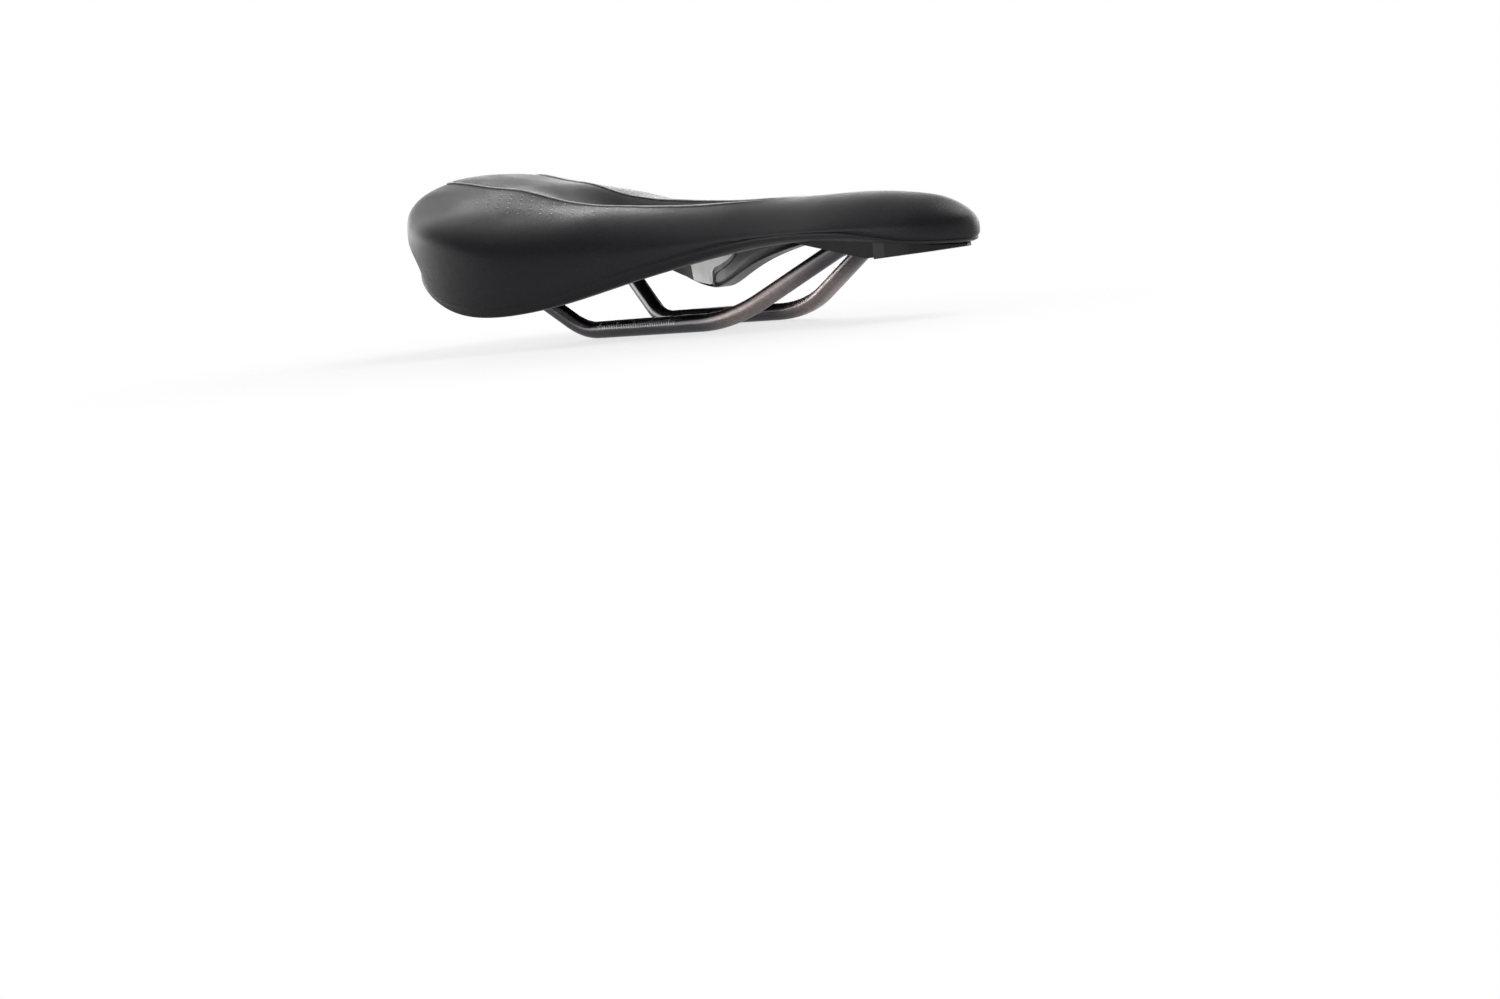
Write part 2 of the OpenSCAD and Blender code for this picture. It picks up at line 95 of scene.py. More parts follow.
def smooth(table, x, reach=5.0):
    """The table's broken line at x, with its corners rounded over reach mm."""
    xs, ys = zip(*table)
    steps = np.arange(-3, 3.01, .25)
    weights = np.exp(-steps ** 2 / 2)
    return sum(w * np.interp(np.asarray(x) + k * reach, xs, ys)
               for k, w in zip(steps, weights)) / weights.sum()


def ease(x, low, high):
    t = np.clip((np.asarray(x) - low) / (high - low), 0, 1)
    return t * t * (3 - 2 * t)


def closed_curve(rows, count):
    """Points at even distances on the smooth closed curve through the rows."""
    rows = np.array(rows, float)
    n = len(rows)
    gap = np.linalg.norm((np.roll(rows, -1, 0) - rows)[:, :3], axis=1)
    a, b = np.zeros((n, n)), np.zeros(rows.shape)
    for k in range(n):
        h0, h1, nxt = gap[k - 1], gap[k], (k + 1) % n
        a[k, k - 1], a[k, k], a[k, nxt] = h0, 2 * (h0 + h1), h1
        b[k] = 6 * ((rows[nxt] - rows[k]) / h1 - (rows[k] - rows[k - 1]) / h0)
    bend = np.linalg.solve(a, b)
    knots = np.concatenate([[0], np.cumsum(gap)])
    out = []
    for t in np.arange(count) / count * knots[-1]:
        k = min(n - 1, int(np.searchsorted(knots, t, "right")) - 1)
        nxt, h, u = (k + 1) % n, gap[k], t - knots[k]
        v = h - u
        out.append(bend[k] * v ** 3 / 6 / h + bend[nxt] * u ** 3 / 6 / h
                   + (rows[k] / h - bend[k] * h / 6) * v
                   + (rows[nxt] / h - bend[nxt] * h / 6) * u)
    return np.array(out)


edge = closed_curve(OUTLINE + [(x, -y, z, u, -v, w)
                               for x, y, z, u, v, w in OUTLINE[-2:0:-1]], COLUMNS)
along_edge = np.roll(edge, -1, 0)[:, :2] - np.roll(edge, 1, 0)[:, :2]
along_edge /= np.linalg.norm(along_edge, axis=1)[:, None]
outward = np.stack([along_edge[:, 1], -along_edge[:, 0]], 1)
if outward[COLUMNS // 2, 0] < 0:
    outward = -outward
spine_x = SPINE[0] + (SPINE[1] - SPINE[0]) * (edge[:, 0] - TAIL_X) / CAD_LENGTH
shoulder = smooth(SHOULDER, edge[:, 0])


def wide(layer):
    share = layer[4] if layer[4] > .5 else under_share(layer[4])
    return np.column_stack([edge[:, :2] - outward * layer[1],
                            edge[:, 5] + (edge[:, 2] - edge[:, 5]) * share])


def under_share(share):
    """The underside of the wings slopes down close to the lower edge."""
    return share - .3 * ease(edge[:, 0], -112, -90) * (1 - ease(edge[:, 0], -20, 15))


def low(layer):
    return np.column_stack([edge[:, 3:5] - outward * layer[2],
                            edge[:, 5] + layer[3]])


def crease_share(layer):
    """Where the panel's edge crosses each radial line, as a share of its length."""
    w, r = wide(layer), np.full(COLUMNS, .5)
    for _ in range(30):
        x = spine_x + (w[:, 0] - spine_x) * r
        r = .5 * r + .5 * np.clip(smooth(CREASE, x) / np.maximum(1, abs(w[:, 1])),
                                  CREASE_NEAREST, CREASE_FARTHEST)
    return r


def radial_length(layer):
    w = wide(layer)
    return np.hypot(w[:, 0] - spine_x, w[:, 1])


def top(layer, r):
    """Points of the top at the share r of each radial line."""
    w = wide(layer)
    k = np.maximum(0, 1 - r ** shoulder) ** (1 / shoulder)
    x = spine_x + (w[:, 0] - spine_x) * r
    y = w[:, 1] * r
    dip = np.minimum(1, abs(y) / np.maximum(.01, smooth(CREASE, x)))
    if layer[5]:
        fall = smooth(BASE_FALL, x) * y * y
    else:
        fall = (smooth(SLOPE, x) * (np.hypot(y, RIDGE) - RIDGE) + smooth(FALL, x) * y * y
                + smooth(ROLL, x) * y ** 4)
        fall = fall - smooth(PADS, x) * ease(abs(y), PADS_FROM, PADS_FULL)
    height = (smooth(CROWN, x) - fall - layer[0]
              - layer[5] * smooth(FOAM, x)
              - layer[6] * CHANNEL_DEPTH * smooth(CHANNEL, x, 4) * (1 - dip ** 2.2) ** 1.5)
    return np.column_stack([x, y, w[:, 2] + (height - w[:, 2]) * k])


def corner_shares(start, steps):
    """Shares from start to 1, evenly spaced round the shoulder."""
    k = np.maximum(1e-9, 1 - start ** shoulder) ** (1 / shoulder)
    first = np.arctan2(start, k)
    for u in steps:
        a = first + (math.pi / 2 - first) * u
        size = (np.sin(a) ** shoulder + np.abs(np.cos(a)) ** shoulder) ** (1 / shoulder)
        yield np.minimum(1, np.sin(a) / size)


TAIL_HOLLOW = 3.2                  # mm that the side is drawn in under the tail


def skirt(layer, v):
    """Points of the side at the share v of its height, drawn in under the tail."""
    w, h = wide(layer), low(layer)
    s = np.asarray(v) ** 2.4 + np.zeros(COLUMNS)
    hollow = TAIL_HOLLOW * (1 - ease(edge[:, 0], -104, -78)) * np.sin(math.pi * v) ** 2
    plan = w[:, :2] + (h[:, :2] - w[:, :2]) * s[:, None] - outward * hollow[:, None]
    return np.column_stack([plan, w[:, 2] + (h[:, 2] - w[:, 2]) * v])


def mesh_object(name, points, faces, material, sharp=50):
    """A smooth-shaded mesh object from points in mm."""
    mesh = bpy.data.meshes.new(name)
    mesh.from_pydata((np.asarray(points) * .001).tolist(), [], faces)
    bm = bmesh.new()
    bm.from_mesh(mesh)
    bmesh.ops.remove_doubles(bm, verts=bm.verts, dist=2e-6)
    bmesh.ops.recalc_face_normals(bm, faces=bm.faces)
    bm.to_mesh(mesh)
    bm.free()
    mesh.shade_smooth()
    mesh.set_sharp_from_angle(angle=math.radians(sharp))
    mesh.materials.append(material)
    piece = bpy.data.objects.new(name, mesh)
    bpy.context.collection.objects.link(piece)
    return piece


def sheet_faces(rings, columns, offset=0, turned=False):
    faces = []
    for j in range(rings - 1):
        for i in range(columns):
            a, b = j * columns + i, j * columns + (i + 1) % columns
            quad = [a + offset, b + offset, b + columns + offset, a + columns + offset]
            faces.append(quad[::-1] if turned else quad)
    return faces


def skin(name, outer, inner, material, sharp=50):
    """Closed piece between two lists of rings that match one to one."""
    columns, rings = len(outer[0]), len(outer)
    points = np.concatenate(outer + inner)
    n = columns * rings
    faces = sheet_faces(rings, columns) + sheet_faces(rings, columns, n, True)
    for ring in (0, rings - 1):
        if ring == 0 and np.allclose(outer[0][:, 1], 0):
            continue                       # the middle line, where both sides meet
        for i in range(columns):
            a, b = ring * columns + i, ring * columns + (i + 1) % columns
            faces.append([a, b, b + n, a + n] if ring else [b, a, a + n, b + n])
    return mesh_object(name, points, faces, material, sharp)


def group(name, inputs, outputs):
    """An empty shader group with its sockets, and its input and output nodes."""
    tree = bpy.data.node_groups.new(name, "ShaderNodeTree")
    for label, value in inputs.items():
        vector = isinstance(value, tuple)
        socket = tree.interface.new_socket(
            label, in_out="INPUT",
            socket_type="NodeSocketVector" if vector and len(value) == 3
            else "NodeSocketColor" if vector else "NodeSocketFloat")
        socket.default_value = value
    for label, kind in outputs.items():
        tree.interface.new_socket(label, in_out="OUTPUT", socket_type="NodeSocket" + kind)
    return tree, tree.nodes.new("NodeGroupInput"), tree.nodes.new("NodeGroupOutput")


def node(tree, kind, links=None, **settings):
    """A shader node with its settings, and its inputs linked or set."""
    made = tree.nodes.new("ShaderNode" + kind)
    for key, value in settings.items():
        setattr(made, key, value)
    for key, value in (links or {}).items():
        if isinstance(value, bpy.types.NodeSocket):
            tree.links.new(value, made.inputs[key])
        else:
            made.inputs[key].default_value = value
    return made


def calc(tree, operation, *values):
    made = tree.nodes.new("ShaderNodeMath")
    made.operation = operation
    for k, value in enumerate(values):
        if isinstance(value, bpy.types.NodeSocket):
            tree.links.new(value, made.inputs[k])
        else:
            made.inputs[k].default_value = value
    return made.outputs[0]


def ramp(tree, value, low_value, high_value, to_low=0.0, to_high=1.0):
    made = node(tree, "MapRange", {"Value": value, "From Min": low_value,
                                   "From Max": high_value, "To Min": to_low,
                                   "To Max": to_high}, interpolation_type="SMOOTHSTEP")
    return made.outputs["Result"]


def mix(tree, share, first, second):
    made = tree.nodes.new("ShaderNodeMix")
    made.data_type = "RGBA"
    for key, value in ((0, share), (6, first), (7, second)):
        if isinstance(value, bpy.types.NodeSocket):
            tree.links.new(value, made.inputs[key])
        else:
            made.inputs[key].default_value = value
    return made.outputs[2]


def material(name, base, roughness, **settings):
    """A Principled material; settings are constants on the shader's own sockets."""
    made = bpy.data.materials.new(name)
    made.use_nodes = True
    shader = made.node_tree.nodes["Principled BSDF"]
    shader.inputs["Base Color"].default_value = (*base, 1)
    shader.inputs["Roughness"].default_value = roughness
    for key, value in settings.items():
        shader.inputs[key.replace("_", " ")].default_value = value
    made.diffuse_color = (*base, 1)
    place = made.node_tree.nodes.new("ShaderNodeTexCoord").outputs["Object"]
    return made, made.node_tree, shader, place


# Pressed leather grain: small pebbles between fine creases, uneven in colour
leather_grain, g_in, g_out = group(
    "leather_grain", {"Place": (0., 0., 0.), "Pebble Size": .0008, "Depth": .5},
    {"Normal": "Vector", "Shade": "Float", "Polish": "Float"})
tree = leather_grain
scale = calc(tree, "DIVIDE", 1.0, g_in.outputs["Pebble Size"])
pebbles = node(tree, "TexVoronoi", {"Vector": g_in.outputs["Place"], "Scale": scale,
                                    "Randomness": .9}, feature="DISTANCE_TO_EDGE")
creases = ramp(tree, pebbles.outputs["Distance"], 0.0, .22)
fine = node(tree, "TexNoise", {"Vector": g_in.outputs["Place"], "Detail": 3.0,
                               "Scale": calc(tree, "MULTIPLY", scale, 2.2)})
broad = node(tree, "TexNoise", {"Vector": g_in.outputs["Place"], "Scale": 38.0,
                                "Detail": 4.0, "Roughness": .6})
height = calc(tree, "ADD", creases, calc(tree, "MULTIPLY", fine.outputs["Fac"], .5))
bump = node(tree, "Bump", {"Height": height, "Strength": g_in.outputs["Depth"],
                           "Distance": .00006})
tree.links.new(bump.outputs["Normal"], g_out.inputs["Normal"])
shade = calc(tree, "ADD", calc(tree, "MULTIPLY", broad.outputs["Fac"], .35),
             calc(tree, "MULTIPLY", creases, .65))
tree.links.new(shade, g_out.inputs["Shade"])
tree.links.new(broad.outputs["Fac"], g_out.inputs["Polish"])


def leather(name, dark, light, smoothest, roughest, pebble, depth):
    """Matt synthetic leather with that range of colour and roughness."""
    made, tree, shader, place = material(name, dark, roughest)
    shader.inputs["Specular IOR Level"].default_value = .22
    shader.inputs["Sheen Weight"].default_value = .06
    shader.inputs["Sheen Roughness"].default_value = .45
    grain = node(tree, "Group", {})
    grain.node_tree = leather_grain
    tree.links.new(place, grain.inputs["Place"])
    grain.inputs["Pebble Size"].default_value = pebble
    grain.inputs["Depth"].default_value = depth
    tree.links.new(mix(tree, grain.outputs["Shade"], (*dark, 1), (*light, 1)),
                   shader.inputs["Base Color"])
    tree.links.new(ramp(tree, grain.outputs["Polish"], .35, .7, smoothest, roughest),
                   shader.inputs["Roughness"])
    tree.links.new(grain.outputs["Normal"], shader.inputs["Normal"])
    return made


cover_leather = leather("cover_leather", (.0165, .0148, .0175), (.0225, .0205, .0238),
                        .36, .46, .0008, .5)

LIP = (.0, .12, .3, .55, .9, 1.4, 2.0, 2.8)      # distances from the crease, mm
LIP_RISE = .05
BEAD_HEIGHT, BEAD_ROLL = 3.7, .6
GROOVE_ABOVE, GROOVE_DEPTH, GROOVE_WIDTH = .35, .55, .5
TURN_HEIGHT, TURN_IN = 1.1, 1.6   # mm above the edge, and inwards, where it turns
FLAP = .9                         # the flap inside ends at this share of the skirt


def lip_relief(points, distance, size):
    """The welded edge stands a little proud of the panel, with a rolled top."""
    rise = LIP_RISE * max(0, 1 - distance / LIP[-1]) ** 2
    out = points.copy()
    out[:, 2] += size * rise
    return out


def bead_relief(points, size):
    """Rolled bead along the lower edge, with an indent line above it."""
    tall = BEAD_HEIGHT * (1 - .6 * ease(edge[:, 0], 100, 135))
    above = points[:, 2] - edge[:, 5]
    roll = BEAD_ROLL * np.sin(math.pi * np.clip(above / tall, 0, 1)) ** .8
    from_groove = (above - tall - GROOVE_ABOVE) / GROOVE_WIDTH
    groove = GROOVE_DEPTH * np.exp(-from_groove ** 2)
    out = points.copy()
    out[:, :2] += outward * (size * (roll - groove))[:, None]
    return out


BEAD_GROWS, BEAD_SHRINKS, LIP_ENDS = (-30, 45), (125, 147), (44, 66)     # along x
bead_size = ((.3 + .7 * ease(edge[:, 0], *BEAD_GROWS))
             * (1 - .5 * ease(edge[:, 0], *BEAD_SHRINKS)))
cover_crease = crease_share(OUTSIDE)
reach = radial_length(OUTSIDE)
room = np.minimum(1, (1 - cover_crease) * reach * .5 / LIP[-1])
crease_x = spine_x + (edge[:, 0] - spine_x) * cover_crease
lip_size = 1 - ease(crease_x, *LIP_ENDS)

outer, inner = [], []
inner_crease = crease_share(FOAM_TOP)
for d in LIP:
    r = cover_crease + d * room / reach
    outer.append(lip_relief(top(OUTSIDE, r), d, lip_size))
    inner.append(top(FOAM_TOP, inner_crease + d * room / reach))
steps = np.linspace(0, 1, 41)[1:]
for r_out, r_in in zip(corner_shares(cover_crease + LIP[-1] * room / reach, steps),
                       corner_shares(inner_crease + LIP[-1] * room / reach, steps)):
    outer.append(top(OUTSIDE, r_out))
    inner.append(top(FOAM_TOP, r_in))
drop = edge[:, 2] - edge[:, 5]                   # height of the skirt
turn_v = 1 - TURN_HEIGHT / drop                  # where the edge turns under
for u in np.linspace(0, 1, 45)[1:]:
    v = turn_v * (1 - (1 - u) ** 1.25)
    outer.append(bead_relief(skirt(OUTSIDE, v), bead_size))
    inner.append(skirt(FOAM_TOP, v))
start, corner = outer[-1], low(OUTSIDE)
end = corner.copy()
end[:, :2] -= outward * TURN_IN
inner_end = inner[-1]
for u in np.linspace(0, 1, 7)[1:]:
    outer.append(start * (1 - u) ** 2 + corner * 2 * u * (1 - u) + end * u * u)
    inner.append(inner_end * (1 - u) + low(FOAM_TOP) * u)
flat_end = low(LAP)
for u in (.5, .85, 1):
    outer.append(end * (1 - u) + flat_end * u)
    inner.append(low(FOAM_TOP) * (1 - u) + low(SHELL_LOW) * u)
for v in np.linspace(1, FLAP, 8)[1:]:
    outer.append(skirt(LAP, v))
    inner.append(skirt(SHELL_LOW, v))

seat_cover = skin("seat_cover", outer, inner, cover_leather)
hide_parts("cover_main")
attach(seat_cover, "root")

# ============================================================ centre panel
# The panel lines the pressure-relief channel and lies flat on the tail.  It is
# the same leather with a finer grain, and its edge lies under the cover's.

panel_leather = leather("panel_leather", (.009, .009, .0095), (.014, .014, .0145),
                        .38, .48, .0006, .4)

panel_outer, panel_inner = [], []
TUCK = (3.0, 2.2, 1.5, 1.0, .6, .3, .12, 0)      # distances inside the crease, mm
TUCK_DROP = .12
tuck_room = np.minimum(1, cover_crease * reach * .6 / TUCK[0])
for u in np.linspace(0, 1, 22)[:-1]:
    panel_outer.append(top(OUTSIDE, (cover_crease - TUCK[0] * tuck_room / reach) * u))
    panel_inner.append(top(FOAM_TOP, (inner_crease - TUCK[0] * tuck_room / reach) * u))
for d in TUCK:
    ring = top(OUTSIDE, cover_crease - d * tuck_room / reach)
    ring[:, 2] -= TUCK_DROP * lip_size * (1 - d / TUCK[0]) ** 1.5
    panel_outer.append(ring)
    panel_inner.append(top(FOAM_TOP, inner_crease - d * tuck_room / reach))
centre_panel = skin("centre_panel", panel_outer, panel_inner, panel_leather)
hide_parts("cover_panel")
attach(centre_panel, "root")

# ============================================================ foam pad
# Moulded polyurethane foam between the cover and the base: about 15 mm thick
# under the sit bones and 10 mm on the nose, thinning to the lower edge.

foam, tree, shader, place = material("moulded_foam", (.12, .12, .12), .9)
cells = node(tree, "TexVoronoi", {"Vector": place, "Scale": 1400.0})
tree.links.new(mix(tree, ramp(tree, cells.outputs["Distance"], 0, .5),
                   (.09, .09, .09, 1), (.15, .15, .15, 1)), shader.inputs["Base Color"])
pits = node(tree, "Bump", {"Height": cells.outputs["Distance"], "Strength": .6,
                           "Distance": .0002})
tree.links.new(pits.outputs["Normal"], shader.inputs["Normal"])

foam_rings, base_rings = [], []
foam_crease, base_crease = crease_share(FOAM_TOP), crease_share(SHELL_TOP)
SLIP = .05                         # mm of air between foam, cover and shell
slack = FOAM_TOP + [SLIP, SLIP, SLIP, SLIP, 0, 0, 0]
close = SHELL_TOP - [SLIP, SLIP, SLIP, -SLIP, 0, 0, 0]
for u in np.linspace(0, 1, 16)[:-1]:
    foam_rings.append(top(slack, foam_crease * u))
    base_rings.append(top(close, base_crease * u))
for r_out, r_in in zip(corner_shares(foam_crease, np.linspace(0, 1, 20)),
                       corner_shares(base_crease, np.linspace(0, 1, 20))):
    foam_rings.append(top(slack, r_out))
    base_rings.append(top(close, r_in))
for v in np.linspace(0, 1, 14)[1:]:
    foam_rings.append(skirt(slack, v))
    base_rings.append(skirt(close, v))
foam_body = skin("foam_body", foam_rings, base_rings, foam)
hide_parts("foam_pad")
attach(foam_body, "root")

# ============================================================ base shell
# One injection moulding in glass-filled nylon, 2.6 mm thick, stiffened by ribs
# on its underside.  The sockets of the rails are screwed to it from below.

moulded_grain, g_in, g_out = group(
    "moulded_grain", {"Place": (0., 0., 0.), "Grain": .0005, "Depth": .3},
    {"Normal": "Vector", "Shade": "Float"})
tree = moulded_grain
scale = calc(tree, "DIVIDE", 1.0, g_in.outputs["Grain"])
spark = node(tree, "TexNoise", {"Vector": g_in.outputs["Place"], "Scale": scale,
                                "Detail": 2.0})
flow = node(tree, "TexNoise", {"Vector": g_in.outputs["Place"], "Scale": 60.0,
                               "Detail": 3.0, "Distortion": .6})
bump = node(tree, "Bump", {"Height": spark.outputs["Fac"], "Distance": .00008,
                           "Strength": g_in.outputs["Depth"]})
tree.links.new(bump.outputs["Normal"], g_out.inputs["Normal"])
tree.links.new(flow.outputs["Fac"], g_out.inputs["Shade"])


def moulded(name, dark, light, smoothest, roughest, grain_size, depth, **settings):
    """Moulded plastic with spark-eroded grain and faint flow marks."""
    made, tree, shader, place = material(name, dark, roughest, **settings)
    grain = node(tree, "Group", {})
    grain.node_tree = moulded_grain
    tree.links.new(place, grain.inputs["Place"])
    grain.inputs["Grain"].default_value = grain_size
    grain.inputs["Depth"].default_value = depth
    tree.links.new(mix(tree, grain.outputs["Shade"], (*dark, 1), (*light, 1)),
                   shader.inputs["Base Color"])
    tree.links.new(ramp(tree, grain.outputs["Shade"], .35, .65, smoothest, roughest),
                   shader.inputs["Roughness"])
    tree.links.new(grain.outputs["Normal"], shader.inputs["Normal"])
    return made


shell_nylon = moulded("shell_nylon", (.013, .013, .014), (.02, .02, .021),
                      .34, .46, .0006, .25, Specular_IOR_Level=.3)

shell_rings, under_rings = [], []
under_crease = crease_share(SHELL_LOW)
for u in np.linspace(0, 1, 14)[:-1]:
    shell_rings.append(top(SHELL_TOP, base_crease * u))
    under_rings.append(top(SHELL_LOW, under_crease * u))
for r_out, r_in in zip(corner_shares(base_crease, np.linspace(0, 1, 24)),
                       corner_shares(under_crease, np.linspace(0, 1, 24))):
    shell_rings.append(top(SHELL_TOP, r_out))
    under_rings.append(top(SHELL_LOW, r_in))
for v in np.linspace(0, 1, 16)[1:]:
    shell_rings.append(skirt(SHELL_TOP, v))
    under_rings.append(skirt(SHELL_LOW, v))
base = skin("base_moulding", shell_rings, under_rings, shell_nylon)
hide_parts("base_shell")
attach(base, "root")

# Ribs: one along the middle and two across on each side, and one slanting up each wing
under = BVHTree.FromObject(base, bpy.context.evaluated_depsgraph_get())
RIB = ((-1.1, -.35), (-.75, .5), (-.62, 2.4), (-.4, 2.85), (.4, 2.85), (.62, 2.4),
       (.75, .5), (1.1, -.35))                  # profile: side, depth in mm
STRAIGHT_RIBS = (((-92, 14), (66, 8)), ((-50, 15.2), (-50, 44)), ((-10, 13.2), (-10, 33)))
WING_RIB, WING_RIB_SIZE = ((-47.5, 59.2), (-6, 33.3)), .55
RIB_FADE = 5                                    # mm over which a rib's end runs out


def rib_body(foot, down, points, faces, size=1.0):
    """Adds a rib whose root runs along foot and whose depth points along down."""
    foot, down = np.array(foot), np.array(down)
    run = np.gradient(foot, axis=0)
    side = np.cross(run, down)
    side /= np.linalg.norm(side, axis=1)[:, None]
    length = np.concatenate([[0], np.cumsum(np.linalg.norm(np.diff(foot, axis=0), axis=1))])
    taper = np.minimum(1, np.minimum(length, length[-1] - length) / RIB_FADE + .15)
    first, n = len(points), len(RIB)
    for f, d, s, t in zip(foot, down, side, taper):
        points.extend(f + s * across * size + d * (depth if depth < 0 else depth * t * size)
                      for across, depth in RIB)
    for j in range(len(foot) - 1):
        for i in range(n):
            a, b = first + j * n + i, first + j * n + (i + 1) % n
            faces.append([a, b, b + n, a + n])
    faces.append(list(range(first, first + n))[::-1])
    faces.append(list(range(first + (len(foot) - 1) * n, first + len(foot) * n)))


def underside(x, y):
    hit = under.ray_cast(Vector((x, y, -20)) * .001, Vector((0, 0, 1)))[0]
    return [x, y, hit.z * 1000]


points, faces = [], []
for side in (-1, 1):
    for (x0, y0), (x1, y1) in STRAIGHT_RIBS:
        count = int(math.hypot(x1 - x0, y1 - y0) / 2) + 1
        foot = [underside(x0 + (x1 - x0) * u, side * (y0 + (y1 - y0) * u))
                for u in np.linspace(0, 1, count)]
        rib_body(foot, [(0, 0, -1)] * count, points, faces)
    (x0, y0), (x1, y1) = WING_RIB
    foot = [underside(x0 + (x1 - x0) * u, side * (y0 + (y1 - y0) * u))
            for u in np.linspace(0, 1, 24)]
    rib_body(foot, [(0, 0, -1)] * 24, points, faces, WING_RIB_SIZE)
ribs = mesh_object("base_ribs", points, faces, shell_nylon, 35)
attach(ribs, "root")

# ============================================================ wing facets
# A pale facet under each wing, between its slanting rib and the wrapped edge of
# the cover.  What it is on the real saddle is a guess: here it is a thin moulding
# in a lighter nylon that lies on the base shell.

facet_nylon = moulded("facet_nylon", (.86, .86, .85), (.93, .93, .92), .3, .42, .0006, .2)
FACET_WIDTH = 13
FACET_FACES = (.4, -.3)            # its two faces, mm out of the shell's surface
FACET_FRONT, FACET_REAR = -7, -62
FACET_SLANT = (.35, .94)           # the way it runs inwards from the edge
inner_wall = skirt(SHELL_LOW, .88)[COLUMNS // 2:]      # one side, nose to tail or back
inner_wall = inner_wall[np.argsort(inner_wall[:, 0])]
along_x = np.linspace(FACET_FRONT, FACET_REAR, 60)
edge_y = np.minimum(33.1 - .624 * (along_x + 6),
                    np.interp(along_x, inner_wall[:, 0], abs(inner_wall[:, 1])) - .3)
points, faces = [], []
for side in (-1, 1):
    first = len(points)
    for proud in FACET_FACES:
        for across in FACET_WIDTH * np.linspace(0, 1, 24) ** 2:
            for x, y in zip(along_x, edge_y):
                from_below = Vector((x - FACET_SLANT[0] * across,
                                     side * (y - FACET_SLANT[1] * across), -20))
                hit, normal, _, _ = under.ray_cast(from_below * .001, Vector((0, 0, 1)))
                points.append(np.array(hit) * 1000 + np.array(normal) * proud)
    rows, n = 24, 60
    for low_or_high in (0, 1):
        for j in range(rows - 1):
            for i in range(n - 1):
                a = first + low_or_high * rows * n + j * n + i
                quad = [a, a + 1, a + n + 1, a + n]
                faces.append(quad if low_or_high else quad[::-1])
    rim = ([i for i in range(n)] + [j * n + n - 1 for j in range(1, rows)]
           + [(rows - 1) * n + i for i in range(n - 2, -1, -1)]
           + [j * n for j in range(rows - 2, 0, -1)])
    for a, b in zip(rim, rim[1:] + rim[:1]):
        faces.append([first + a, first + b, first + b + rows * n, first + a + rows * n])
facets = mesh_object("wing_facets", points, faces, facet_nylon, 40)
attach(facets, "root")

# ============================================================ grip dots
# Low rounded dots of pale rubber on the cover over both sit-bone pads, in slanted
# rows that thin out towards the nose.

dot_rubber, tree, shader, place = material("dot_rubber", (.4, .4, .41), .34)
specks = node(tree, "TexNoise", {"Vector": place, "Scale": 900.0, "Detail": 2.0})
tree.links.new(mix(tree, ramp(tree, specks.outputs["Fac"], .35, .65),
                   (.3, .3, .31, 1), (.5, .5, .51, 1)),
               shader.inputs["Base Color"])

DOT_FIELD = [(-84, 40), (-80, 44), (-66, 48), (-43, 45), (-30, 40), (-18, 36),
             (-6, 27), (5, 22.5), (14, 19.5)]   # outer limit of the dots by x
DOT_START = (-64.4, 28.9)
DOT_ROW, DOT_COLUMN = (4.15, 4.55), (4.3, -2.0)   # steps from dot to dot
DOT_RADIUS = .62
DOT_RINGS = ((1, -.08), (.86, .08), (.5, .18))   # share of the radius, height in mm
DOT_GAP = 2.6                      # least distance from the crease
seat_top = BVHTree.FromObject(seat_cover, bpy.context.evaluated_depsgraph_get())
points, faces = [], []
for side in (-1, 1):
    for row in range(-9, 12):
        for column in range(-9, 16):
            x = DOT_START[0] + DOT_ROW[0] * row + DOT_COLUMN[0] * column
            y = DOT_START[1] + DOT_ROW[1] * row + DOT_COLUMN[1] * column
            inner_limit = float(smooth(CREASE, x)) + DOT_GAP
            outer_limit = float(np.interp(x, *zip(*DOT_FIELD)))
            if not (DOT_FIELD[0][0] < x < DOT_FIELD[-1][0]
                    and inner_limit < y < outer_limit):
                continue
            fade = min(1, .45 + (outer_limit - y) / 14, .5 + (x + 86) / 18,
                       .55 + (8 - x) / 60)
            hit, normal, _, _ = seat_top.ray_cast(Vector((x, y * side, 90)) * .001,
                                                  Vector((0, 0, -1)))
            turn = normal.to_track_quat("Z", "Y").to_matrix()
            first = len(points)
            radius = DOT_RADIUS * fade
            for size, rise in DOT_RINGS:
                for k in range(10):
                    a = k * math.tau / 10
                    p = turn @ Vector((math.cos(a) * size * radius,
                                       math.sin(a) * size * radius, rise * fade))
                    points.append(np.array(hit) * 1000 + np.array(p))
            for j in (0, 1):
                for k in range(10):
                    a, b = first + j * 10 + k, first + j * 10 + (k + 1) % 10
                    faces.append([a, b, b + 10, a + 10])
            faces.append(list(range(first + 20, first + 30)))
            faces.append(list(range(first, first + 10))[::-1])
grip_dots = mesh_object("grip_dots", points, faces, dot_rubber, 80)
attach(grip_dots, "root")

# ============================================================ crease line
# A thin raised line runs along the weld between cover and panel, coloured pale grey as a
# painted highlight on the weld's edge.  It runs round the tail and dies out where the
# channel ends on the nose.

# The pale grey colour, with its brighter flecks, is a painted highlight along the weld.
weld_painted_highlight, tree, shader, place = material("weld_painted_highlight", (.5, .49, .46), .28)
shine = node(tree, "TexNoise", {"Vector": place, "Scale": 260.0, "Detail": 3.0})
tree.links.new(mix(tree, ramp(tree, shine.outputs["Fac"], .3, .7),
                   (.58, .58, .57, 1), (.78, .78, .77, 1)), shader.inputs["Base Color"])

